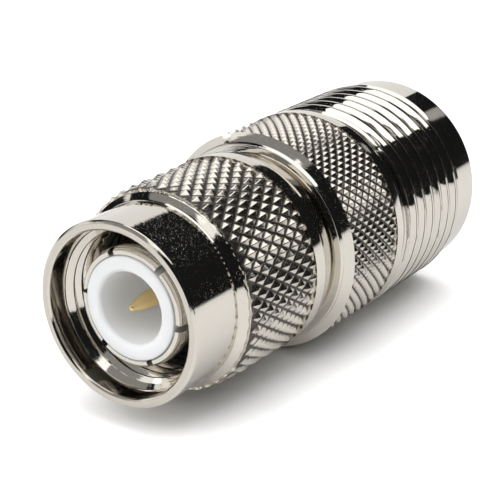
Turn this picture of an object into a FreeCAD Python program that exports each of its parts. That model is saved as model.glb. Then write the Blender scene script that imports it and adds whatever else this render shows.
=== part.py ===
import FreeCAD, Part
import math
import os

# Coaxial adapter with a screw-on plug at the top and a larger threaded jack at the bottom.
# Millimetres. Z runs along the axis, from the jack's end face at Z = 0 up to the nut's rim.

# Centre contacts
pin_radius = 0.675
pin_tip_radius = 0.24
pin_tip_edge = 0.12
pin_tip_depth = 1.45
pin_taper_length = 1.6
neck_radius = 0.9
neck_height = 0.1
stem_radius = 1.05
stem_joint_height = 1.9
spigot_radius = 0.5
spigot_length = 3.0
spigot_end_room = 0.2
socket_bore_radius = 0.82
socket_wall = 0.7
socket_bore_depth = 4.0
socket_tip_depth = 5.1
socket_edge = 0.2
socket_slot_count = 4
socket_slot_width = 0.3
socket_slot_length = 3.2

# Plug insulator
cavity_radius = 2.46
cavity_depth = 5.2
cavity_floor = 1.65
cavity_edge = 0.16
plug_insulator_wall = 0.96
plug_insulator_depth = 1.35
insulator_slip = 0.02

# Spring sleeve
sleeve_gap = 0.13
sleeve_wall = 0.5
sleeve_root_step = 0.2
sleeve_base_step = 0.35
sleeve_seat_depth = 6.8
sleeve_tip_depth = 1.45
sleeve_tip_edge = 0.15
slot_count = 6
slot_turn = 52.5
slot_width = 0.45
slot_length = 7.5

# Jack body, outside, from the end face up
lip_step = 0.33
lip_length = 2.5
lip_edge = 0.2
jack_thread_radius = 7.94
jack_thread_length = 8.6
jack_thread_edge = 0.15
relief_depth = 0.69
relief_length = 0.6
grip_radius = 8.0
grip_length = 6.9
face_step = 0.66
face_step_length = 0.38
face_rise = 0.42
face_taper = 0.22

# Jack body, hub that carries the nut
hub_wall = 0.85
hub_length = 4.6
ring_groove_depth = 0.6

# Jack body, inside
jack_bore_radius = 4.05
jack_bore_depth = 9.1
jack_mouth_flare = 0.55
jack_mouth_depth = 0.8
bead_step = 0.55
web_step = 0.5
web_thickness = 0.6
tail_run = 1.6

# Coupling nut, outside, from its rear end up
nut_gap = 0.3
nut_cone_step = 0.43
nut_cone_length = 1.5
nut_band_wall = 1.15
nut_band_length = 1.05
nut_grip_rise = 0.05
nut_grip_length = 7.35
nut_grip_depth = 0.36
nut_grip_pitch_around = 0.95
nut_grip_pitch_along = 1.47
nut_step_length = 0.55
collar_wall = 0.68
collar_length = 4.45
rim_bevel = 0.1
rim_bevel_length = 0.25

# Coupling nut, inside, from the rim down
mouth_edge = 0.13
mouth_depth = 1.95
thread_lead_length = 0.5
mating_shell_room = 1.05
nut_thread_depth = 0.52
nut_relief_depth = 0.55
nut_relief_room = 0.9
hub_clearance = 0.08
nut_groove_depth = 0.52

# Snap ring and gasket
ring_thickness = 0.9
ring_height = 1.65
ring_gap = 2.4
ring_seat_clearance = 0.03
ring_nut_clearance = 0.15
gasket_thickness = 1.0
gasket_clearance = 0.05
gasket_nut_clearance = 0.35

# A knurl's outermost points stay this far inside the turned edge beside them
knurl_edge = 0.03

# Slots are cut this far past the surfaces they open
cut_margin = 1.0

# Radii that several pieces share, from the axis outwards
socket_radius = socket_bore_radius + socket_wall
plug_insulator_radius = cavity_radius + plug_insulator_wall
sleeve_bore_radius = plug_insulator_radius + sleeve_gap
sleeve_radius = sleeve_bore_radius + sleeve_wall
sleeve_root_radius = sleeve_radius + sleeve_root_step
sleeve_seat_radius = sleeve_root_radius + sleeve_base_step
hub_radius = sleeve_seat_radius + hub_wall
bead_radius = jack_bore_radius - bead_step
nut_bore_radius = hub_radius + hub_clearance
nut_groove_radius = nut_bore_radius + nut_groove_depth
nut_band_radius = nut_groove_radius + nut_band_wall
nut_thread_radius = sleeve_radius + mating_shell_room
nut_relief_radius = nut_thread_radius + nut_relief_depth
mouth_radius = nut_thread_radius + nut_thread_depth
collar_radius = mouth_radius + collar_wall

# Heights that several pieces share, from the jack's end face up
relief_low = lip_length + jack_thread_length
grip_low = relief_low + relief_length
grip_high = grip_low + grip_length
face_height = grip_high + face_step_length + face_rise
hub_top = face_height + hub_length
gasket_top = hub_top + gasket_thickness
sleeve_low = hub_top - sleeve_seat_depth
web_high = sleeve_low - tail_run
web_low = web_high - web_thickness
stem_low = web_high + stem_joint_height
ring_low = face_height + ring_height
nut_low = face_height + nut_gap
nut_cone_high = nut_low + nut_cone_length
nut_grip_low = nut_cone_high + nut_band_length
nut_grip_high = nut_grip_low + nut_grip_length
collar_low = nut_grip_high + nut_step_length
rim_height = collar_low + collar_length
sleeve_tip = rim_height - sleeve_tip_depth
insulator_face = rim_height - plug_insulator_depth
cavity_low = insulator_face - cavity_depth
pin_shoulder = cavity_low - cavity_floor
pin_tip = rim_height - pin_tip_depth

axis_up = FreeCAD.Vector(0, 0, 1)
origin = FreeCAD.Vector(0, 0, 0)


def point(radius, height, turn=0):
    """Point at a radius and height, a part of a turn round from +X."""
    angle = 2 * math.pi * turn
    return FreeCAD.Vector(radius * math.cos(angle), radius * math.sin(angle), height)


def turned(outline):
    """Solid of revolution about Z from a closed outline of (radius, height) corners."""
    face = Part.Face(Part.makePolygon([point(*corner) for corner in outline + outline[:1]]))
    return face.revolve(origin, axis_up, 360)


def diamond_knurl(low, high, crest, depth, pitch_around, pitch_along, edge_low, edge_high):
    """Faces of a band of four-sided points between crossing V grooves.

    The grooves cross at the valley radius. Half points at both ends are cut off by a flat wall that
    reaches in or out to the turned edge there, of radius edge_low or edge_high.
    """
    count = round(2 * math.pi * crest / pitch_around)
    rows = 2 * round((high - low) / pitch_along)
    step = (high - low) / rows
    valley = crest - depth
    tops = {row: crest for row in range(rows + 1)}
    for row, edge in ((0, edge_low), (rows, edge_high)):
        if edge > valley:
            tops[row] = min(crest, edge - knurl_edge)
    faces = []
    for row in range(rows + 1):
        height = low + row * step
        for column in range(count):
            turn = column + (row % 2) / 2
            left = point(valley, height, turn / count)
            top = point(tops[row], height, (turn + 0.5) / count)
            right = point(valley, height, (turn + 1) / count)
            for side in (-1, 1):
                if 0 <= row + side <= rows:
                    tip = point(valley, height + side * step, (turn + 0.5) / count)
                    faces.append(Part.Face(Part.makePolygon([left, top, tip, left])))
                    faces.append(Part.Face(Part.makePolygon([top, right, tip, top])))
    for row, height, edge in ((0, low, edge_low), (rows, high, edge_high)):
        corners = []
        for half in range(2 * count + 1):
            corners.append(point(tops[row] if half % 2 else valley, height, half / 2 / count))
        circle = Part.Wire(Part.makeCircle(edge, FreeCAD.Vector(0, 0, height)))
        faces.append(Part.makeFace([Part.makePolygon(corners), circle], "Part::FaceMakerBullseye"))
    return faces


def turned_with_knurl(outline, knurl):
    """Solid whose outline runs from the top of the knurled band, round the inside, to its foot."""
    turned_faces = Part.makePolygon([point(*corner) for corner in outline]).revolve(origin, axis_up, 360)
    skin = Part.makeCompound(knurl + turned_faces.Faces)
    skin.sewShape()
    solid = Part.Solid(Part.Shell(skin.Faces))
    if solid.Volume < 0:
        solid.reverse()
    return solid


def radial_slots(count, turn, width, reach, low, high):
    """Flat cutters that stand on edge from the axis outwards, the first one turned by some degrees."""
    cutters = []
    for index in range(count):
        cutter = Part.makeBox(reach, width, high - low, FreeCAD.Vector(0, -width / 2, low))
        cutter.rotate(origin, axis_up, turn + index * 360 / count)
        cutters.append(cutter)
    return cutters


def jack_body():
    """Jack shell, grip and hub, turned from one bar. The thread and the grip's fine knurl stay plain."""
    lip_radius = jack_thread_radius - lip_step
    relief_radius = jack_thread_radius - relief_depth
    face_radius = grip_radius - face_step
    insulator_bore = plug_insulator_radius + insulator_slip
    groove_radius = hub_radius - ring_groove_depth
    groove_low = ring_low - ring_seat_clearance
    groove_high = ring_low + ring_thickness + ring_seat_clearance
    outline = [
        (lip_radius - lip_edge, 0),
        (lip_radius, lip_edge),
        (lip_radius, lip_length),
        (jack_thread_radius - jack_thread_edge, lip_length),
        (jack_thread_radius, lip_length + jack_thread_edge),
        (jack_thread_radius, relief_low),
        (relief_radius, relief_low),
        (relief_radius, grip_low),
        (grip_radius, grip_low),
        (grip_radius, grip_high),
        (face_radius, grip_high + face_step_length),
        (face_radius - face_taper, face_height),
        (hub_radius, face_height),
        (hub_radius, groove_low),
        (groove_radius, groove_low),
        (groove_radius, groove_high),
        (hub_radius, groove_high),
        (hub_radius, hub_top),
        (sleeve_seat_radius, hub_top),
        (sleeve_seat_radius, sleeve_low),
        (insulator_bore, sleeve_low),
        (insulator_bore, web_high),
        (bead_radius - web_step, web_high),
        (bead_radius - web_step, web_low),
        (bead_radius, web_low),
        (bead_radius, jack_bore_depth),
        (jack_bore_radius, jack_bore_depth),
        (jack_bore_radius, jack_mouth_depth),
        (jack_bore_radius + jack_mouth_flare, 0),
    ]
    return turned(outline)


def coupling_nut():
    """Free-turning nut: collar, knurled grip and band outside, mouth, thread and ring groove inside."""
    crest = nut_band_radius + nut_grip_rise
    step_radius = crest - nut_grip_depth - knurl_edge
    lead_low = rim_height - mouth_depth - thread_lead_length
    relief_high = gasket_top + nut_relief_room
    groove_low = ring_low - ring_nut_clearance
    groove_high = ring_low + ring_thickness + ring_nut_clearance
    outline = [
        (step_radius, nut_grip_high),
        (collar_radius, collar_low),
        (collar_radius, rim_height - rim_bevel_length),
        (collar_radius - rim_bevel, rim_height),
        (mouth_radius + mouth_edge, rim_height),
        (mouth_radius, rim_height - mouth_edge),
        (mouth_radius, rim_height - mouth_depth),
        (nut_thread_radius, lead_low),
        (nut_thread_radius, relief_high),
        (nut_relief_radius, relief_high),
        (nut_relief_radius, hub_top),
        (nut_bore_radius, hub_top),
        (nut_bore_radius, groove_high),
        (nut_groove_radius, groove_high),
        (nut_groove_radius, groove_low),
        (nut_bore_radius, groove_low),
        (nut_bore_radius, nut_low),
        (nut_band_radius - nut_cone_step, nut_low),
        (nut_band_radius, nut_cone_high),
        (nut_band_radius, nut_grip_low),
    ]
    knurl = diamond_knurl(nut_grip_low, nut_grip_high, crest, nut_grip_depth,
                          nut_grip_pitch_around, nut_grip_pitch_along, nut_band_radius, step_radius)
    return turned_with_knurl(outline, knurl)


def retaining_ring():
    """Split snap ring that sits in the hub's groove and reaches into the nut's groove."""
    inner = hub_radius - ring_groove_depth + ring_seat_clearance
    outer = nut_groove_radius - ring_nut_clearance
    high = ring_low + ring_thickness
    ring = turned([(inner, ring_low), (outer, ring_low), (outer, high), (inner, high)])
    gap = radial_slots(1, 0, ring_gap, outer + cut_margin, ring_low - cut_margin, high + cut_margin)
    return ring.cut(gap)


def nut_gasket():
    """Rubber washer on the hub's end, round the root of the spring sleeve."""
    inner = sleeve_root_radius + gasket_clearance
    outer = nut_relief_radius - gasket_nut_clearance
    return turned([(inner, hub_top), (outer, hub_top), (outer, gasket_top), (inner, gasket_top)])


def outer_contact():
    """Slotted spring sleeve; its thick base is pressed into the hub, and its root carries the gasket."""
    outline = [
        (sleeve_bore_radius, sleeve_low),
        (sleeve_seat_radius, sleeve_low),
        (sleeve_seat_radius, hub_top),
        (sleeve_root_radius, hub_top),
        (sleeve_root_radius, gasket_top),
        (sleeve_radius, gasket_top),
        (sleeve_radius, sleeve_tip - sleeve_tip_edge),
        (sleeve_radius - sleeve_tip_edge, sleeve_tip),
        (sleeve_bore_radius, sleeve_tip),
    ]
    slot_low = sleeve_tip - slot_length
    slots = radial_slots(slot_count, slot_turn, slot_width, sleeve_radius + cut_margin,
                         slot_low, sleeve_tip + cut_margin)
    return turned(outline).cut(slots)


def plug_insulator():
    """White sleeve from the body's web up, with an open cavity round the pin."""
    stem_hole = stem_radius + insulator_slip
    neck_hole = neck_radius + insulator_slip
    outline = [
        (stem_hole, web_high),
        (plug_insulator_radius, web_high),
        (plug_insulator_radius, insulator_face - cavity_edge),
        (plug_insulator_radius - cavity_edge, insulator_face),
        (cavity_radius + cavity_edge, insulator_face),
        (cavity_radius, insulator_face - cavity_edge),
        (cavity_radius, cavity_low),
        (neck_hole, cavity_low),
        (neck_hole, pin_shoulder),
        (stem_hole, pin_shoulder),
    ]
    return turned(outline)


def jack_insulator():
    """White bead behind the jack's bore, against the body's web."""
    hole = stem_radius + insulator_slip
    outer = bead_radius - insulator_slip
    return turned([(hole, jack_bore_depth), (outer, jack_bore_depth), (outer, web_low), (hole, web_low)])


def pin_contact():
    """Gold pin with a taper and a blunt tip, its stepped stem, and the spigot pressed into the socket."""
    outline = [
        (0, stem_low - spigot_length),
        (spigot_radius, stem_low - spigot_length),
        (spigot_radius, stem_low),
        (stem_radius, stem_low),
        (stem_radius, pin_shoulder),
        (neck_radius, pin_shoulder),
        (neck_radius, cavity_low + neck_height),
        (pin_radius, cavity_low + neck_height),
        (pin_radius, pin_tip - pin_taper_length),
        (pin_tip_radius, pin_tip - pin_tip_edge),
        (pin_tip_radius - pin_tip_edge, pin_tip),
        (0, pin_tip),
    ]
    return turned(outline)


def socket_contact():
    """Gold socket with slotted mouth, a neck through the bead, and a blind hole for the spigot."""
    hole_low = stem_low - spigot_length - spigot_end_room
    bore_high = socket_tip_depth + socket_bore_depth
    outline = [
        (socket_bore_radius + socket_edge / 2, socket_tip_depth),
        (socket_radius - socket_edge, socket_tip_depth),
        (socket_radius, socket_tip_depth + socket_edge),
        (socket_radius, jack_bore_depth),
        (stem_radius, jack_bore_depth),
        (stem_radius, stem_low),
        (spigot_radius, stem_low),
        (spigot_radius, hole_low),
        (0, hole_low),
        (0, bore_high),
        (socket_bore_radius, bore_high),
        (socket_bore_radius, socket_tip_depth + socket_edge / 2),
    ]
    slot_high = socket_tip_depth + socket_slot_length
    slots = radial_slots(socket_slot_count, 0, socket_slot_width, socket_radius + cut_margin,
                         socket_tip_depth - cut_margin, slot_high)
    return turned(outline).cut(slots)


pieces = {
    "jack_body": jack_body,
    "coupling_nut": coupling_nut,
    "retaining_ring": retaining_ring,
    "nut_gasket": nut_gasket,
    "outer_contact": outer_contact,
    "plug_insulator": plug_insulator,
    "jack_insulator": jack_insulator,
    "pin_contact": pin_contact,
    "socket_contact": socket_contact,
}

os.makedirs("parts", exist_ok=True)
for name, build in pieces.items():
    shape = build()
    shape.exportStep("parts/" + name + ".step")
    print(name, "solids", len(shape.Solids), "volume", round(shape.Volume, 2), "valid", shape.isValid())
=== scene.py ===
import math
import random

import bmesh
import bpy
from mathutils import Matrix, Vector, noise


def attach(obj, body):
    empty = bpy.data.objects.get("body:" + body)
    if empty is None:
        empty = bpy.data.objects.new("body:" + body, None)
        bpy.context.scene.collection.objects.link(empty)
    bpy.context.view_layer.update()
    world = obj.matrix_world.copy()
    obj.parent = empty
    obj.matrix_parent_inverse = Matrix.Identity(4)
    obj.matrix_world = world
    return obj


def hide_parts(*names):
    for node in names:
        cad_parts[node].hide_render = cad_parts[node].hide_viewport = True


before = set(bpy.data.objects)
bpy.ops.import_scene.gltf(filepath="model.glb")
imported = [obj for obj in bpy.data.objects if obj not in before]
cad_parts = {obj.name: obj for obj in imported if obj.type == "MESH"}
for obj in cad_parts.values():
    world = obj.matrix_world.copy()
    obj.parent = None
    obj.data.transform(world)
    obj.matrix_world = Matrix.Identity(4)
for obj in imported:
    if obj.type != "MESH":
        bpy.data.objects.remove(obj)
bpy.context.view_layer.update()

mm = 0.001
closeEnough = 0.001 * mm
rimReach = 0.1 * mm
bandEdge = 0.05  # a band of finish fades in over this many millimetres
sharpAngle = math.radians(38)  # faces that meet at more than this are shaded apart
slotAngle = math.radians(50)  # edges of cut slots that are bevelled
axisUp = (0, 0, 1)


# Shader sums: a Shade is one socket, and arithmetic on it adds Math nodes
class Shade:
    def __init__(self, paint, socket):
        self.paint = paint
        self.socket = socket

    def maths(self, operation, *others):
        return self.paint.node("ShaderNodeMath", {"operation": operation}, [self, *others])

    def __add__(self, other):
        return self.maths("ADD", other)

    __radd__ = __add__

    def __mul__(self, other):
        return self.maths("MULTIPLY", other)

    def __rsub__(self, other):
        return self.paint.node("ShaderNodeMath", {"operation": "SUBTRACT"}, [other, self])

    def ramp(self, low, high):  # 0 up to low, 1 from high on, smooth between
        settings = {"interpolation_type": "SMOOTHSTEP"}
        inputs = {"Value": self, "From Min": low, "From Max": high}
        return self.paint.node("ShaderNodeMapRange", settings, inputs)


class Paint:
    def __init__(self, owner):
        owner.use_nodes = True
        self.tree = owner.node_tree
        self.tree.nodes.clear()

    def node(self, kind, settings=None, inputs=None, output=0):
        made = self.tree.nodes.new(kind)
        for name, value in (settings or {}).items():
            setattr(made, name, value)
        pairs = enumerate(inputs) if isinstance(inputs, (list, tuple)) else (inputs or {}).items()
        for name, value in pairs:
            if isinstance(value, Shade):
                self.tree.links.new(value.socket, made.inputs[name])
            else:
                made.inputs[name].default_value = value
        return Shade(self, made.outputs[output]) if made.outputs else None

    def mix(self, factor, first, second):  # colours, whose sockets on this node are 6, 7 and 2
        inputs = {0: factor, 6: first, 7: second}
        return self.node("ShaderNodeMix", {"data_type": "RGBA"}, inputs, output=2)

    def outputs(self, shade, names):  # several outputs of the node that a shade comes from
        return [Shade(self, shade.socket.node.outputs[name]) for name in names]

    def place(self):  # object coordinates as three values and the distance from the axis
        point = self.node("ShaderNodeTexCoord", output="Object")
        x, y, z = self.outputs(self.node("ShaderNodeSeparateXYZ", None, [point]), "XYZ")
        radius = (x * x + y * y).maths("SQRT")
        return point, x, y, z, radius

    def between(self, height, low, high):  # 1 inside a stretch of the axis, 0 outside
        above = height.ramp(low * mm, (low + bandEdge) * mm)
        return above * (1 - height.ramp((high - bandEdge) * mm, high * mm))

    def vector(self, x, y, z):
        return self.node("ShaderNodeCombineXYZ", None, [x, y, z])

    def noise(self, where, scale, detail=2.0, roughness=0.5):
        inputs = {"Vector": where, "Scale": scale, "Detail": detail, "Roughness": roughness}
        return self.node("ShaderNodeTexNoise", None, inputs)

    def bump(self, height, distance):
        return self.node("ShaderNodeBump", None, {"Height": height, "Distance": distance, "Strength": 1.0})

    def surface(self, **inputs):
        named = {name.replace("_", " "): value for name, value in inputs.items()}
        shader = self.node("ShaderNodeBsdfPrincipled", None, named)
        self.node("ShaderNodeOutputMaterial", None, [shader])


def rgb(red, green, blue):
    return (red, green, blue, 1.0)


plate = {
    "nickel": rgb(0.67, 0.635, 0.575),
    "blotched": rgb(0.62, 0.58, 0.51),
    "blotchShare": 0.25,
    "worn": rgb(0.6, 0.56, 0.5),
    "wornDull": 0.14,  # how dull the metal is where its colour is all worn
    "knurlDull": 0.14,
    "roughness": 0.045,
    "blotchDull": 0.03,
    "pitDull": 0.1,
    "dullPits": (0.62, 0.75),
    "deepPits": (0.66, 0.78),
    # Painted shade and grime in the dark bands: added dullness, least strength, and how much grit varies
    # it
    "shadeAndGrimeDull": 0.3,
    "shadeAndGrimeLeast": 0.6,
    "shadeAndGrimeGrit": 0.5,
    "ringStretch": 0.02,
    "ringsPerMetre": 3600,
    "blotchesPerMetre": 500,
    "pitsPerMetre": 14000,
    "gritPerMetre": 4500,
    "ringHeight": 0.005 * mm,
    "grainHeight": 0.0006 * mm,
    "pitHeight": 0.003 * mm,
    "gritHeight": 0.06 * mm,
}

# Black for the painted shade and grime in knurl grooves
grooveShadeAndGrime = rgb(0.012, 0.010, 0.007)
# Brown painted shade in thread roots
paintedRootShade = rgb(0.10, 0.055, 0.028)


# Bright nickel on turned brass, with fine turning marks round the axis. A dark band paints shade where it
# lies deep, in thread roots and, mixed with grime, in knurl grooves: (low, high, radius where darkening
# starts, radius where it is full, colour). A rough band is dull and worn: (low, high, added roughness).
def nickelPlate(name, darkBands=(), roughBands=(), roughness=plate["roughness"], marks=1.0):
    material = bpy.data.materials.new(name)
    paint = Paint(material)
    point, x, y, z, radius = paint.place()
    rings = paint.vector(radius, z, (x + y) * plate["ringStretch"])
    turning = paint.noise(rings, plate["ringsPerMetre"], detail=3.0, roughness=0.55)
    blotch = paint.noise(point, plate["blotchesPerMetre"], detail=4.0, roughness=0.6)
    pits = paint.noise(point, plate["pitsPerMetre"])
    grit = paint.noise(point, plate["gritPerMetre"], detail=3.0, roughness=0.6)
    dull = 0.0
    for low, high, amount in roughBands:
        dull = paint.between(z, low, high) * amount + dull
    colour = paint.mix(blotch * plate["blotchShare"], plate["nickel"], plate["blotched"])
    if roughBands:
        colour = paint.mix(dull.ramp(0.0, plate["wornDull"]), colour, plate["worn"])
    pitted = pits.ramp(*plate["dullPits"]) * plate["pitDull"]
    shine = roughness + blotch * plate["blotchDull"] + pitted + dull
    # Painted shade, darker towards the bottom of grooves and thread roots, with grime mixed in the knurl
    # grooves
    for low, high, darkeningStart, darkeningFull, shadeAndGrimeTint in darkBands:
        deep = 1 - radius.ramp(darkeningFull * mm, darkeningStart * mm)
        shadeAndGrime = paint.between(z, low, high) * deep * (grit * plate["shadeAndGrimeGrit"] + plate["shadeAndGrimeLeast"])
        colour = paint.mix(shadeAndGrime, colour, shadeAndGrimeTint)
        shine = shine + shadeAndGrime * plate["shadeAndGrimeDull"]
    height = turning * plate["ringHeight"] * marks + pits.ramp(*plate["deepPits"]) * plate["pitHeight"]
    height = height + grit * plate["grainHeight"]
    if roughBands:
        height = height + grit * dull * plate["gritHeight"]
    paint.surface(Base_Color=colour, Metallic=1.0, Roughness=shine, Normal=paint.bump(height, 1.0))
    return material


# A relief's dark band: painted shade in its hollows, with grime mixed in for the knurls
def darkBand(relief, shadeAndGrimeTint):
    return relief["low"], relief["high"], relief["darkeningStart"], relief["darkeningFull"], shadeAndGrimeTint


gold = {
    "deep": rgb(0.80, 0.58, 0.25),
    "pale": rgb(0.87, 0.68, 0.34),
    "roughness": 0.2,
    "cloudDull": 0.1,
    "cloudsPerMetre": 900,
    "ringStretch": 0.05,
    "ringsPerMetre": 12000,
    "ringHeight": 0.002 * mm,
}


def goldPlate():
    paint = Paint(bpy.data.materials.new("goldPlate"))
    point, x, y, z, radius = paint.place()
    rings = paint.vector(radius, z, (x + y) * gold["ringStretch"])
    turning = paint.noise(rings, gold["ringsPerMetre"], detail=3.0)
    cloud = paint.noise(point, gold["cloudsPerMetre"], detail=3.0)
    colour = paint.mix(cloud, gold["deep"], gold["pale"])
    shine = gold["roughness"] + cloud * gold["cloudDull"]
    normal = paint.bump(turning, gold["ringHeight"])
    paint.surface(Base_Color=colour, Metallic=1.0, Roughness=shine, Normal=normal)
    return bpy.data.materials["goldPlate"]


wax = {
    "grey": rgb(0.90, 0.92, 0.94),
    "white": rgb(0.93, 0.945, 0.96),
    "roughness": 0.42,
    "cloudDull": 0.1,
    "cloudsPerMetre": 700,
    "ringStretch": 0.05,
    "ringsPerMetre": 6000,
    "ringHeight": 0.001 * mm,
    "gloss": 0.35,
    "clouded": 0.35,
    "lightReach": (0.7, 0.75, 0.8),
    "lightDepth": 0.9 * mm,
}


def waxyWhite():
    paint = Paint(bpy.data.materials.new("waxyWhite"))
    point, x, y, z, radius = paint.place()
    rings = paint.vector(radius, z, x * wax["ringStretch"])
    turning = paint.noise(rings, wax["ringsPerMetre"], detail=3.0)
    cloud = paint.noise(point, wax["cloudsPerMetre"], detail=4.0)
    colour = paint.mix(cloud, wax["grey"], wax["white"])
    shine = wax["roughness"] + cloud * wax["cloudDull"]
    paint.surface(
        Base_Color=colour, Roughness=shine, Normal=paint.bump(turning, wax["ringHeight"]),
        Subsurface_Weight=wax["clouded"], Subsurface_Radius=wax["lightReach"],
        Subsurface_Scale=wax["lightDepth"], Specular_IOR_Level=wax["gloss"],
    )
    return bpy.data.materials["waxyWhite"]


rubber = {
    "black": rgb(0.012, 0.012, 0.013),
    "dusty": rgb(0.035, 0.034, 0.033),
    "roughness": 0.6,
    "grainDull": 0.2,
    "grainPerMetre": 5000,
    "grainHeight": 0.01 * mm,
}


def blackRubber():
    paint = Paint(bpy.data.materials.new("blackRubber"))
    point = paint.place()[0]
    grain = paint.noise(point, rubber["grainPerMetre"], detail=4.0)
    colour = paint.mix(grain, rubber["black"], rubber["dusty"])
    shine = rubber["roughness"] + grain * rubber["grainDull"]
    paint.surface(Base_Color=colour, Roughness=shine, Normal=paint.bump(grain, rubber["grainHeight"]))
    return bpy.data.materials["blackRubber"]


# Corners are (radius, height, rounding) in millimetres. A rounded corner is bevelled before the spin.
def addTurned(bm, corners, steps, closed=True):
    outline = bmesh.new()
    verts = [outline.verts.new((radius * mm, 0, height * mm)) for radius, height, rounding in corners]
    ends = verts[1:] + verts[:1] if closed else verts[1:]
    for pair in zip(verts, ends):
        outline.edges.new(pair)
    for amount in sorted({corner[2] for corner in corners if corner[2]}):
        soft = [vert for vert, corner in zip(verts, corners) if corner[2] == amount]
        bmesh.ops.bevel(outline, geom=soft, offset=amount * mm, offset_type="OFFSET", segments=3,
                        profile=0.5, affect="VERTICES", material=-1)
    wire = outline.verts[:] + outline.edges[:]
    bmesh.ops.spin(outline, geom=wire, cent=(0, 0, 0), axis=axisUp, dvec=(0, 0, 0), angle=2 * math.pi,
                   steps=steps, use_merge=True, use_duplicate=False)
    bmesh.ops.remove_doubles(outline, verts=outline.verts, dist=closeEnough)
    addMesh(bm, outline)


def addMesh(bm, part):
    mesh = bpy.data.meshes.new("part")
    part.to_mesh(mesh)
    part.free()
    bm.from_mesh(mesh)
    bpy.data.meshes.remove(mesh)


# Four-sided points between crossing grooves, pressed from a grid that is wrapped round the axis. End rows
# may have lower tops and more wear.
def addKnurl(bm, knurl):
    cells = bmesh.new()
    columns = 2 * knurl["count"]
    rows = knurl["rows"]
    chance = random.Random(knurl["seed"])
    bmesh.ops.create_grid(cells, x_segments=columns, y_segments=rows, size=0.5)
    places = {}
    for vert in cells.verts:
        places[vert] = (round((vert.co.x + 0.5) * columns), round((vert.co.y + 0.5) * rows))
    isTop = {vert: sum(place) % 2 == 0 for vert, place in places.items()}
    wear = [
        [chance.random() * knurl["uneven"] * knurl["ragged"].get(row, 1) for row in range(rows + 1)]
        for column in range(columns)
    ]
    for face in cells.faces[:]:
        valleys = [vert for vert in face.verts if not isTop[vert]]
        bmesh.utils.face_split(face, *valleys)
    for vert in cells.verts:
        turn = 2 * math.pi * (vert.co.x + 0.5)
        along = vert.co.y + 0.5
        radius = knurl["crest"] - (0 if isTop[vert] else knurl["depth"])
        column, row = places[vert]
        if isTop[vert]:
            radius = knurl["endTops"].get(row, radius) - wear[column % columns][row]
        height = knurl["low"] + along * (knurl["high"] - knurl["low"])
        vert.co = Vector((radius * math.cos(turn), radius * math.sin(turn), height)) * mm
    bmesh.ops.remove_doubles(cells, verts=cells.verts, dist=closeEnough)
    inner = [edge for edge in cells.edges if not edge.is_boundary]
    bmesh.ops.bevel(cells, geom=inner, offset=knurl["softness"] * mm, offset_type="OFFSET", segments=2,
                    profile=0.5, affect="EDGES", clamp_overlap=True, material=-1)
    addMesh(bm, cells)


# A helical thread, cut off square at both ends. Its depth runs inwards, or outwards when negative.
def addThread(bm, thread, steps):
    turns = bmesh.new()
    pitch = thread["pitch"]
    crest = thread["crest"]
    root = crest - thread["depth"]
    rootHalf = thread["rootFlat"] / 2
    crestHalf = thread["crestFlat"] / 2
    corners = [
        (root, 0), (root, rootHalf), (crest, pitch / 2 - crestHalf),
        (crest, pitch / 2 + crestHalf), (root, pitch - rootHalf), (root, pitch),
    ]
    start = thread["low"] - pitch * (1 + thread["phase"])
    verts = [turns.verts.new((radius * mm, 0, (start + height) * mm)) for radius, height in corners]
    for pair in zip(verts, verts[1:]):
        turns.edges.new(pair)
    crests = verts[2:4]
    roots = [verts[1], verts[4]]
    for soft, softness in ((crests, thread["crestSoftness"]), (roots, thread["rootSoftness"])):
        bmesh.ops.bevel(turns, geom=soft, offset=softness * mm, offset_type="OFFSET", segments=4,
                        profile=0.5, affect="VERTICES", material=-1)
    bmesh.ops.spin(turns, geom=turns.verts[:] + turns.edges[:], cent=(0, 0, 0), axis=axisUp,
                   dvec=(0, 0, pitch * mm / steps), angle=2 * math.pi, steps=steps,
                   use_merge=False, use_duplicate=False)
    oneTurn = turns.verts[:] + turns.edges[:] + turns.faces[:]
    moreTurns = math.ceil((thread["high"] - thread["low"]) / pitch) + 1
    for turn in range(1, moreTurns + 1):
        copied = bmesh.ops.duplicate(turns, geom=oneTurn)["geom"]
        moved = [part for part in copied if isinstance(part, bmesh.types.BMVert)]
        bmesh.ops.translate(turns, vec=(0, 0, turn * pitch * mm), verts=moved)
    bmesh.ops.remove_doubles(turns, verts=turns.verts, dist=closeEnough)
    for vert in turns.verts:
        wobble = noise.noise(vert.co * thread["wobbleScale"]) * thread["wobble"] * mm
        out = Vector((vert.co.x, vert.co.y, 0)).normalized()
        vert.co += out * wobble
        vert.co.z += wobble
    for height, side in ((thread["low"], 1), (thread["high"], -1)):
        geom = turns.verts[:] + turns.edges[:] + turns.faces[:]
        bmesh.ops.bisect_plane(turns, geom=geom, plane_co=(0, 0, height * mm), plane_no=(0, 0, side),
                               clear_inner=True, dist=closeEnough / 10)
    sign = 1 if thread["depth"] > 0 else -1
    for vert in turns.verts:  # the thread runs out towards both ends
        height = vert.co.z / mm
        radius = math.hypot(vert.co.x, vert.co.y) / mm
        room = min(height - thread["low"], thread["high"] - height)
        limit = crest - sign * max(0, thread["endDepth"] - room)
        if sign * radius > sign * limit:
            vert.co.x *= limit / radius
            vert.co.y *= limit / radius
    addMesh(bm, turns)


# Fills between the two open rims that lie at one height
def joinRims(bm, height):
    rims = [
        edge for edge in bm.edges
        if edge.is_boundary and all(abs(vert.co.z - height * mm) < rimReach for vert in edge.verts)
    ]
    bmesh.ops.triangle_fill(bm, edges=rims, use_beauty=True, use_dissolve=False, normal=axisUp)


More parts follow.
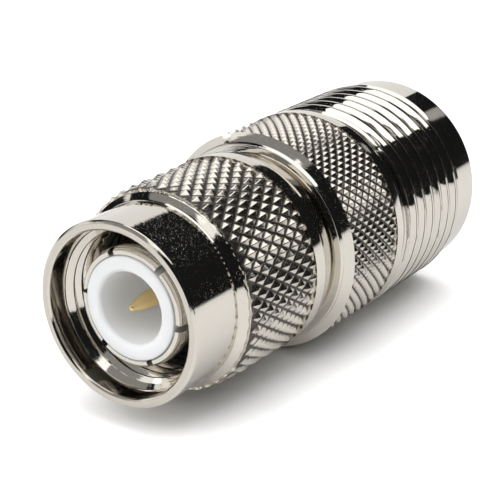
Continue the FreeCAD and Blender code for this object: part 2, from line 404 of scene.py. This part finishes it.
def finishPiece(bm, name, material, body, node):
    bmesh.ops.remove_doubles(bm, verts=bm.verts, dist=closeEnough)
    bmesh.ops.recalc_face_normals(bm, faces=bm.faces)
    openEdges = [edge for edge in bm.edges if not edge.is_manifold]
    mesh = bpy.data.meshes.new(name)
    bm.to_mesh(mesh)
    bm.free()
    mesh.materials.append(material)
    mesh.shade_smooth()
    mesh.set_sharp_from_angle(angle=sharpAngle)
    piece = bpy.data.objects.new(name, mesh)
    bpy.context.scene.collection.objects.link(piece)
    weighted = piece.modifiers.new("evenShading", "WEIGHTED_NORMAL")
    weighted.keep_sharp = True
    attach(piece, body)
    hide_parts(node)
    print(name, "faces", len(mesh.polygons), "open edges", len(openEdges))
    return piece


jack = {
    "lipRadius": 7.61,
    "lipLength": 2.5,
    "shoulderRadius": 7.95,
    "shoulderLow": 11.7,
    "reliefRadius": 7.25,
    "faceRadius": 7.34,
    "faceFoot": 18.98,
    "faceLean": 0.03,
    "faceEdge": 0.1,
    "faceHeight": 19.4,
    "hubRadius": 5.45,
    "hubTop": 24.0,
    "grooveDepth": 0.6,
    "grooveLow": 21.02,
    "grooveHigh": 21.98,
    "seatRadius": 4.6,
    "seatLow": 17.2,
    "insulatorRadius": 3.44,
    "webRadius": 3.0,
    "webHigh": 15.6,
    "webLow": 15.0,
    "beadRadius": 3.5,
    "boreRadius": 4.05,
    "boreDepth": 9.1,
    "mouthDepth": 0.8,
    "mouthFlare": 0.5,
    "mouthEdge": 0.75,
    "steps": 192,
}

jackThread = {
    "crest": 7.94,
    "depth": 0.36,
    "pitch": 1.23,
    "rootFlat": 0.02,
    "crestFlat": 0.34,
    "crestSoftness": 0.26,
    "rootSoftness": 0.02,
    "low": 2.5,
    "high": 11.1,
    "phase": 0.2,
    "endDepth": 0.36,
    "wobble": 0.03,
    "wobbleScale": 900,
    # Painted shade darkens the thread root between these two radii
    "darkeningStart": 7.66,
    "darkeningFull": 7.6,
}

jackKnurl = {
    "crest": 7.99,
    "depth": 0.28,
    "count": 62,
    "rows": 13,
    "low": 12.6,
    "high": 18.6,
    "uneven": 0.04,
    "softness": 0.03,
    "endTops": {0: 7.93, 13: 7.93},
    "ragged": {0: 1.5, 13: 1.5},
    # Painted shade with grime darkens the knurl grooves between these two radii
    "darkeningStart": 7.79,
    "darkeningFull": 7.74,
    "seed": 3,
}


def makeJackShell():
    bm = bmesh.new()
    face = jack["faceHeight"]
    hub = jack["hubRadius"]
    outside = [
        (jack["reliefRadius"], jackThread["high"], 0),
        (jack["reliefRadius"], jack["shoulderLow"], 0.12),
        (jack["shoulderRadius"], jack["shoulderLow"], 0.1),
        (jack["shoulderRadius"], jackKnurl["low"], 0),
    ]
    inside = [
        (jack["shoulderRadius"], jackKnurl["high"], 0),
        (jack["faceRadius"], jack["faceFoot"], 0.03),
        (jack["faceRadius"] - jack["faceLean"], face - jack["faceEdge"], 0.07),
        (hub, face, 0.05),
        (hub, jack["grooveLow"], 0),
        (hub - jack["grooveDepth"], jack["grooveLow"], 0),
        (hub - jack["grooveDepth"], jack["grooveHigh"], 0),
        (hub, jack["grooveHigh"], 0),
        (hub, jack["hubTop"], 0.12),
        (jack["seatRadius"], jack["hubTop"], 0),
        (jack["seatRadius"], jack["seatLow"], 0),
        (jack["insulatorRadius"], jack["seatLow"], 0),
        (jack["insulatorRadius"], jack["webHigh"], 0),
        (jack["webRadius"], jack["webHigh"], 0),
        (jack["webRadius"], jack["webLow"], 0),
        (jack["beadRadius"], jack["webLow"], 0),
        (jack["beadRadius"], jack["boreDepth"], 0.05),
        (jack["boreRadius"], jack["boreDepth"], 0.1),
        (jack["boreRadius"], jack["mouthDepth"], 0.2),
        (jack["boreRadius"] + jack["mouthFlare"], 0.08, 0.12),
        (jack["boreRadius"] + jack["mouthEdge"], 0, 0.08),
        (jack["lipRadius"], 0, 0.18),
        (jack["lipRadius"], jack["lipLength"], 0),
    ]
    addTurned(bm, outside, jack["steps"], closed=False)
    addTurned(bm, inside, jack["steps"], closed=False)
    addThread(bm, jackThread, jack["steps"])
    addKnurl(bm, jackKnurl)
    for height in (jackThread["low"], jackThread["high"], jackKnurl["low"], jackKnurl["high"]):
        joinRims(bm, height)
    # Painted shade in the thread roots, and painted shade with grime in the knurl grooves
    darkBands = [darkBand(jackThread, paintedRootShade), darkBand(jackKnurl, grooveShadeAndGrime)]
    roughBands = [(jackKnurl["low"], jackKnurl["high"], plate["knurlDull"])]
    material = nickelPlate("nickelJack", darkBands, roughBands)
    return finishPiece(bm, "jackShell", material, "jack", "jack_body")


nut = {
    "rearRadius": 6.77,
    "low": 19.7,
    "coneHigh": 21.2,
    "bandRadius": 7.2,
    "stepRadius": 6.8,
    "stepEdge": 0.04,
    "stepEdgeLength": 0.12,
    "collarRadius": 6.3,
    "collarLow": 30.13,
    "mouthRadius": 5.62,
    "mouthLow": 33.2,
    "threadStep": 0.02,
    "rim": 34.6,
    "rimBevel": 0.2,
    "rimBevelLength": 0.17,
    "mouthEdge": 0.14,
    "boreRadius": 5.53,
    "reliefRadius": 5.65,
    "reliefLow": 24.0,
    "grooveRadius": 6.05,
    "grooveLow": 20.9,
    "grooveHigh": 22.1,
    "steps": 192,
}

nutKnurl = {
    "crest": 7.24,
    "depth": 0.36,
    "count": 48,
    "rows": 10,
    "low": 22.25,
    "high": 29.6,
    "uneven": 0.06,
    "softness": 0.05,
    "endTops": {0: 7.17, 10: 7.04},
    "ragged": {9: 3, 10: 2.4},
    # Painted shade with grime darkens the knurl grooves between these two radii
    "darkeningStart": 6.98,
    "darkeningFull": 6.925,
    "seed": 7,
}

nutThread = {
    "crest": 5.12,
    "depth": -0.42,
    "pitch": 0.82,
    "rootFlat": 0.12,
    "crestFlat": 0.12,
    "crestSoftness": 0.03,
    "rootSoftness": 0.03,
    "low": 25.9,
    "high": 33.1,
    "phase": 0.29,
    "endDepth": 0.42,
    "wobble": 0.012,
    "wobbleScale": 900,
}


def makeNutShell():
    bm = bmesh.new()
    collar = nut["collarRadius"]
    mouth = nut["mouthRadius"]
    front = [
        (nut["stepRadius"], nutKnurl["high"], 0),
        (nut["stepRadius"] - nut["stepEdge"], nutKnurl["high"] + nut["stepEdgeLength"], 0.03),
        (collar, nut["collarLow"], 0.09),
        (collar, nut["rim"] - nut["rimBevelLength"], 0.04),
        (collar - nut["rimBevel"], nut["rim"], 0.03),
        (mouth + nut["mouthEdge"], nut["rim"], 0.03),
        (mouth, nut["rim"] - nut["mouthEdge"], 0.05),
        (mouth, nut["mouthLow"], 0.05),
        (mouth - nut["threadStep"], nutThread["high"], 0),
    ]
    rear = [
        (nut["reliefRadius"], nutThread["low"], 0),
        (nut["reliefRadius"], nut["reliefLow"], 0.15),
        (nut["boreRadius"], nut["reliefLow"], 0),
        (nut["boreRadius"], nut["grooveHigh"], 0),
        (nut["grooveRadius"], nut["grooveHigh"], 0),
        (nut["grooveRadius"], nut["grooveLow"], 0),
        (nut["boreRadius"], nut["grooveLow"], 0),
        (nut["boreRadius"], nut["low"], 0.15),
        (nut["rearRadius"], nut["low"], 0.12),
        (nut["bandRadius"], nut["coneHigh"], 0.1),
        (nut["bandRadius"], nutKnurl["low"], 0),
    ]
    addTurned(bm, front, nut["steps"], closed=False)
    addTurned(bm, rear, nut["steps"], closed=False)
    addThread(bm, nutThread, nut["steps"])
    addKnurl(bm, nutKnurl)
    for height in (nutThread["low"], nutThread["high"], nutKnurl["low"], nutKnurl["high"]):
        joinRims(bm, height)
    # The knurl grooves get painted shade mixed with grime
    darkBands = [darkBand(nutKnurl, grooveShadeAndGrime)]
    roughBands = [
        (nutKnurl["low"], nutKnurl["high"], plate["knurlDull"]),
        (nut["rim"] - 0.2, nut["rim"] - 0.03, 0.04),  # the rim's bevel
        (nut["rim"] - 0.05, nut["rim"] + 0.1, 0.16),  # the rim's end face
    ]
    material = nickelPlate("nickelNut", darkBands, roughBands)
    return finishPiece(bm, "nutShell", material, "nut", "coupling_nut")


# Cuts flat slots from the axis outwards: count, turn in degrees, width, inner and outer reach, low, high
def cutSlots(bm, slots):
    cutters = bmesh.new()
    for index in range(slots["count"]):
        made = bmesh.ops.create_cube(cutters, size=1.0)["verts"]
        length = slots["outer"] - slots["inner"]
        tall = slots["high"] - slots["low"]
        bmesh.ops.scale(cutters, vec=Vector((length, slots["width"], tall)) * mm, verts=made)
        middle = ((slots["inner"] + slots["outer"]) / 2 * mm, 0, (slots["low"] + slots["high"]) / 2 * mm)
        bmesh.ops.translate(cutters, vec=middle, verts=made)
        turn = math.radians(slots["turn"] + index * 360 / slots["count"])
        bmesh.ops.rotate(cutters, cent=(0, 0, 0), matrix=Matrix.Rotation(turn, 3, "Z"), verts=made)
    meshes = [bpy.data.meshes.new("whole"), bpy.data.meshes.new("cutters")]
    bmesh.ops.remove_doubles(bm, verts=bm.verts, dist=closeEnough)
    bmesh.ops.recalc_face_normals(bm, faces=bm.faces)
    bmesh.ops.recalc_face_normals(cutters, faces=cutters.faces)
    bm.to_mesh(meshes[0])
    cutters.to_mesh(meshes[1])
    cutters.free()
    objects = [bpy.data.objects.new(mesh.name, mesh) for mesh in meshes]
    for made in objects:
        bpy.context.scene.collection.objects.link(made)
    cut = objects[0].modifiers.new("slots", "BOOLEAN")
    cut.operation = "DIFFERENCE"
    cut.solver = "EXACT"
    cut.object = objects[1]
    result = objects[0].evaluated_get(bpy.context.evaluated_depsgraph_get()).to_mesh()
    bm.clear()
    bm.from_mesh(result)
    for made in objects:
        bpy.data.objects.remove(made)
    for mesh in meshes:
        bpy.data.meshes.remove(mesh)
    sharp = [edge for edge in bm.edges if edge.is_manifold and edge.calc_face_angle() > slotAngle]
    bmesh.ops.bevel(bm, geom=sharp, offset=slots["softness"] * mm, offset_type="OFFSET", segments=2,
                    profile=0.5, affect="EDGES", clamp_overlap=True, material=-1)


sleeve = {
    "innerRadius": 3.55,
    "outerRadius": 4.05,
    "seatSlip": 0.005,
    "rootRadius": 4.25,
    "rootHigh": 25.0,
    "waist": 0.06,
    "tip": 33.15,
    "beadLow": 1.0,
    "beadHigh": 0.28,
    "steps": 144,
}

sleeveSlots = {
    "count": 6, "turn": 52.5, "width": 0.45, "inner": 3.0, "outer": 5.0,
    "low": 25.65, "high": 34.0, "softness": 0.03,
}


def makeSpringSleeve():
    bm = bmesh.new()
    tip = sleeve["tip"]
    seat = jack["seatRadius"] - sleeve["seatSlip"]
    outline = [
        (sleeve["innerRadius"], jack["seatLow"], 0),
        (seat, jack["seatLow"], 0),
        (seat, jack["hubTop"], 0),
        (sleeve["rootRadius"], jack["hubTop"], 0),
        (sleeve["rootRadius"], sleeve["rootHigh"], 0.05),
        (sleeve["outerRadius"] - 0.04, sleeve["rootHigh"], 0.05),
        (sleeve["outerRadius"] - sleeve["waist"], tip - 1.6, 0.3),
        (sleeve["outerRadius"], tip - sleeve["beadLow"], 0.3),
        (sleeve["outerRadius"], tip - sleeve["beadHigh"], 0.1),
        (sleeve["outerRadius"] - 0.16, tip, 0.04),
        (sleeve["innerRadius"] + 0.06, tip, 0.03),
        (sleeve["innerRadius"], tip - 0.1, 0.04),
    ]
    addTurned(bm, outline, sleeve["steps"])
    cutSlots(bm, sleeveSlots)
    material = nickelPlate("nickelSleeve", roughness=0.16, marks=2.2)
    return finishPiece(bm, "springSleeve", material, "jack", "outer_contact")


plugInsulator = {
    "outer": 3.53,
    "inner": 2.46,
    "face": 33.25,
    "floor": 28.05,
    "stemHole": 1.07,
    "neckHole": 0.92,
    "neckLow": 26.4,
    "steps": 144,
}


def makePlugInsulator():
    bm = bmesh.new()
    sizes = plugInsulator
    outline = [
        (sizes["stemHole"], jack["webHigh"], 0),
        (sizes["outer"], jack["webHigh"], 0),
        (sizes["outer"], sizes["face"], 0.12),
        (sizes["inner"], sizes["face"], 0.3),
        (sizes["inner"] - 0.02, sizes["floor"], 0.3),
        (sizes["neckHole"], sizes["floor"], 0),
        (sizes["neckHole"], sizes["neckLow"], 0),
        (sizes["stemHole"], sizes["neckLow"], 0),
    ]
    addTurned(bm, outline, sizes["steps"])
    return finishPiece(bm, "plugInsulator", waxyWhite(), "jack", "plug_insulator")


jackInsulator = {"radius": 3.48, "hole": 1.07, "steps": 144}


def makeJackInsulator():
    bm = bmesh.new()
    radius = jackInsulator["radius"]
    hole = jackInsulator["hole"]
    outline = [
        (hole, jack["boreDepth"], 0.06),
        (radius, jack["boreDepth"], 0.1),
        (radius, jack["webLow"], 0),
        (hole, jack["webLow"], 0),
    ]
    addTurned(bm, outline, jackInsulator["steps"])
    material = bpy.data.materials["waxyWhite"]
    return finishPiece(bm, "jackInsulator", material, "jack", "jack_insulator")


pin = {
    "radius": 0.675,
    "noseRadius": 0.22,
    "tip": 33.15,
    "neckRadius": 0.9,
    "neckLow": 26.4,
    "neckHigh": 28.15,
    "stemRadius": 1.05,
    "tailRadius": 0.5,
    "tailLow": 14.5,
    "tailHigh": 17.5,
    "steps": 64,
}


def makeCentrePin():
    bm = bmesh.new()
    tip = pin["tip"]
    nose = pin["noseRadius"]
    outline = [
        (0, pin["tailLow"], 0),
        (pin["tailRadius"], pin["tailLow"], 0.05),
        (pin["tailRadius"], pin["tailHigh"], 0),
        (pin["stemRadius"], pin["tailHigh"], 0),
        (pin["stemRadius"], pin["neckLow"], 0),
        (pin["neckRadius"], pin["neckLow"], 0),
        (pin["neckRadius"], pin["neckHigh"], 0),
        (pin["radius"], pin["neckHigh"], 0.05),
        (pin["radius"], tip - 3.3, 0.3),
        (pin["radius"] - 0.09, tip - 1.9, 0.3),
        (pin["radius"] - 0.23, tip - 0.9, 0.2),
        (nose + 0.03, tip - 0.42, 0.03),
        (nose, tip - 0.36, 0.02),
        (nose + 0.03, tip - 0.2, 0.08),
        (nose - 0.1, tip, 0.1),
        (0, tip, 0),
    ]
    addTurned(bm, outline, pin["steps"], closed=False)
    return finishPiece(bm, "centrePin", goldPlate(), "jack", "pin_contact")


socket = {
    "radius": 1.52,
    "tip": 5.1,
    "holeRadius": 0.82,
    "holeEdge": 0.9,
    "holeEdgeHeight": 5.25,
    "stemRadius": 1.05,
    "tailHole": 0.5,
    "tailHoleLow": 14.3,
    "steps": 96,
}

socketSlots = {
    "count": 4, "turn": 0, "width": 0.3, "inner": 0.4, "outer": 2.5,
    "low": 4.0, "high": 8.3, "softness": 0.03,
}


def makeSocketContact():
    bm = bmesh.new()
    outline = [
        (0, socket["tailHoleLow"], 0),
        (socket["tailHole"], socket["tailHoleLow"], 0),
        (socket["tailHole"], pin["tailHigh"], 0),
        (socket["stemRadius"], pin["tailHigh"], 0),
        (socket["stemRadius"], jack["boreDepth"], 0),
        (socket["radius"], jack["boreDepth"], 0.06),
        (socket["radius"], socket["tip"], 0.18),
        (socket["holeEdge"], socket["tip"], 0.05),
        (socket["holeRadius"], socket["holeEdgeHeight"], 0.05),
        (socket["holeRadius"], jack["boreDepth"], 0.05),
        (0, jack["boreDepth"], 0),
    ]
    addTurned(bm, outline, socket["steps"], closed=False)
    cutSlots(bm, socketSlots)
    material = bpy.data.materials["goldPlate"]
    return finishPiece(bm, "socketContact", material, "jack", "socket_contact")


# Small hidden pieces keep their solids and get a finish
def dressHiddenPieces():
    finishes = {
        "nut_gasket": blackRubber(),
        "retaining_ring": nickelPlate("springSteel", roughness=0.3, marks=1.5),
    }
    for node, material in finishes.items():
        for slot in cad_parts[node].material_slots:
            slot.material = material


stage = {
    "middle": Vector((0, 0, 18)) * mm,
    "floorHeight": 8.02 * mm,  # the part lies on its side, so the floor is square to Y
    "floorHalf": 1.6,
    "paper": rgb(0.86, 0.86, 0.86),
    "paperGlow": 0.5,
    "mirrorGlow": 0.1,
    "paintedShadowReach": 5 * mm,
    "room": rgb(0.9, 0.95, 1.0),
    "roomGlow": 0.012,
}


# White paper, clear from below. It glows a little: evenly in reflections, and for the camera less and less
# towards the part, which paints a darker contact shadow there on top of the lamps' real shadow.
def makeFloor():
    bm = bmesh.new()
    bmesh.ops.create_grid(bm, x_segments=1, y_segments=1, size=stage["floorHalf"])
    bmesh.ops.rotate(bm, cent=(0, 0, 0), matrix=Matrix.Rotation(math.radians(90), 3, "X"), verts=bm.verts)
    bmesh.ops.translate(bm, vec=(0, stage["floorHeight"], 0), verts=bm.verts)
    mesh = bpy.data.meshes.new("floor")
    bm.to_mesh(mesh)
    bm.free()
    material = bpy.data.materials.new("floorPaper")
    paint = Paint(material)
    paper = paint.node("ShaderNodeBsdfDiffuse", None, {"Color": stage["paper"]})
    path = paint.node("ShaderNodeLightPath")
    camera, glossy = paint.outputs(path, ("Is Camera Ray", "Is Glossy Ray"))
    # Ambient occlusion takes the glow away near the part: a painted contact shadow
    reach = {"Distance": stage["paintedShadowReach"]}
    clearOfPart = paint.node("ShaderNodeAmbientOcclusion", None, reach, output="AO")
    strength = camera * clearOfPart.ramp(0.1, 0.9) * stage["paperGlow"] + glossy * stage["mirrorGlow"]
    glow = paint.node("ShaderNodeEmission", None, {"Color": rgb(1, 1, 1), "Strength": strength})
    front = paint.node("ShaderNodeAddShader", None, [paper, glow])
    clear = paint.node("ShaderNodeBsdfTransparent")
    behind = paint.node("ShaderNodeNewGeometry", output="Backfacing")
    whole = paint.node("ShaderNodeMixShader", None, [behind, front, clear])
    paint.node("ShaderNodeOutputMaterial", None, [whole])
    mesh.materials.append(material)
    floor = bpy.data.objects.new("floor", mesh)
    bpy.context.scene.collection.objects.link(floor)


# Directions over the floor that the part lies on: azimuth 0 is along -Z and 90 is along -X, and elevation
# is above the floor, which faces -Y
def floorDirection(azimuth, elevation):
    turn = math.radians(azimuth)
    rise = math.radians(elevation)
    return Vector((-math.sin(turn) * math.cos(rise), -math.sin(rise), -math.cos(turn) * math.cos(rise)))


# Each lamp's middle lies in a direction from the part, at a distance in metres. Glow is its radiance. The
# level lamp faces straight down, the others face the part. Fills aren't mirrored in the metal.
lamps = {
    "overhead": {
        "azimuth": 26, "elevation": 76, "distance": 0.41, "kind": "level",
        "width": 0.49, "height": 0.54, "glow": 1.75,
    },
    "backLeft": {
        "azimuth": -45, "elevation": 17, "distance": 0.9, "kind": "mirrored",
        "width": 1.0, "height": 0.6, "glow": 1.0,
    },
    "spot": {
        "azimuth": 10, "elevation": 28.5, "distance": 0.9, "kind": "mirrored",
        "width": 0.11, "height": 0.09, "glow": 0.45,
    },
    "strip": {
        "azimuth": 163, "elevation": 50, "distance": 0.7, "kind": "mirrored",
        "width": 0.32, "height": 0.16, "glow": 1.3,
    },
    "leftLow": {
        "azimuth": -112, "elevation": 15, "distance": 0.9, "kind": "mirrored",
        "width": 0.6, "height": 0.4, "glow": 1.0,
    },
    "frontFill": {
        "azimuth": -155, "elevation": 38, "distance": 0.8, "kind": "fill",
        "width": 0.6, "height": 0.5, "glow": 2.8,
    },
    "rightFill": {
        "azimuth": 105, "elevation": 52, "distance": 0.7, "kind": "fill",
        "width": 0.5, "height": 0.5, "glow": 1.7,
    },
    "frontDim": {
        "azimuth": -150, "elevation": 38, "distance": 0.9, "kind": "mirrored",
        "width": 1.0, "height": 0.8, "glow": 0.3,
    },
    "frontLeft": {
        "azimuth": -145, "elevation": 27, "distance": 0.8, "kind": "mirrored",
        "width": 0.85, "height": 0.24, "glow": 0.9,
    },
    "frontLow": {
        "azimuth": -170, "elevation": 8, "distance": 0.85, "kind": "mirrored",
        "width": 0.5, "height": 0.22, "glow": 0.8,
    },
}


def makeLamps():
    for name, lamp in lamps.items():
        data = bpy.data.lights.new(name, "AREA")
        data.shape = "RECTANGLE"
        data.size = lamp["width"]
        data.size_y = lamp["height"]
        data.energy = lamp["glow"] * math.pi * lamp["width"] * lamp["height"]
        holder = bpy.data.objects.new(name, data)
        away = floorDirection(lamp["azimuth"], lamp["elevation"])
        place = stage["middle"] + away * lamp["distance"]
        upward = Vector((0, -1, 0))
        if lamp["kind"] == "level":
            away = upward
            upward = Vector((0, 0, -1))
        side = upward.cross(away).normalized()
        turned = Matrix((side, away.cross(side), away)).transposed().to_4x4()
        holder.matrix_world = Matrix.Translation(place) @ turned
        holder.visible_camera = False
        holder.visible_glossy = lamp["kind"] != "fill"
        bpy.context.scene.collection.objects.link(holder)


def makeWorld():
    world = bpy.data.worlds.new("studio")
    bpy.context.scene.world = world
    paint = Paint(world)
    camera = paint.node("ShaderNodeLightPath", output="Is Camera Ray")
    white = paint.node("ShaderNodeBackground", None, [rgb(1, 1, 1), 1.0])
    room = paint.node("ShaderNodeBackground", None, [stage["room"], stage["roomGlow"]])
    both = paint.node("ShaderNodeMixShader", None, [camera, room, white])
    paint.node("ShaderNodeOutputWorld", None, [both])


view = {
    "place": Vector((-56.011, -37.877, 101.044)) * mm,
    "right": Vector((-0.82478, 0.00487, -0.56543)),
    "up": Vector((0.20022, -0.93267, -0.30008)),
    "lens": 108,
    "sensor": 36,
    "nearest": 0.005,
    "farthest": 10,
}


def makeCamera():
    data = bpy.data.cameras.new("camera")
    data.lens = view["lens"]
    data.sensor_width = view["sensor"]
    data.clip_start = view["nearest"]
    data.clip_end = view["farthest"]
    camera = bpy.data.objects.new("camera", data)
    right = view["right"].normalized()
    back = right.cross(view["up"]).normalized()
    turned = Matrix((right, back.cross(right), back)).transposed().to_4x4()
    camera.matrix_world = Matrix.Translation(view["place"]) @ turned
    bpy.context.scene.collection.objects.link(camera)
    bpy.context.scene.camera = camera


bpy.context.scene.view_settings.view_transform = "Standard"
makeCamera()
makeWorld()
makeLamps()
makeFloor()
print("stage ready")

makeJackShell()
makeNutShell()
makeSpringSleeve()
makePlugInsulator()
makeJackInsulator()
makeCentrePin()
makeSocketContact()
dressHiddenPieces()
print("pieces ready")
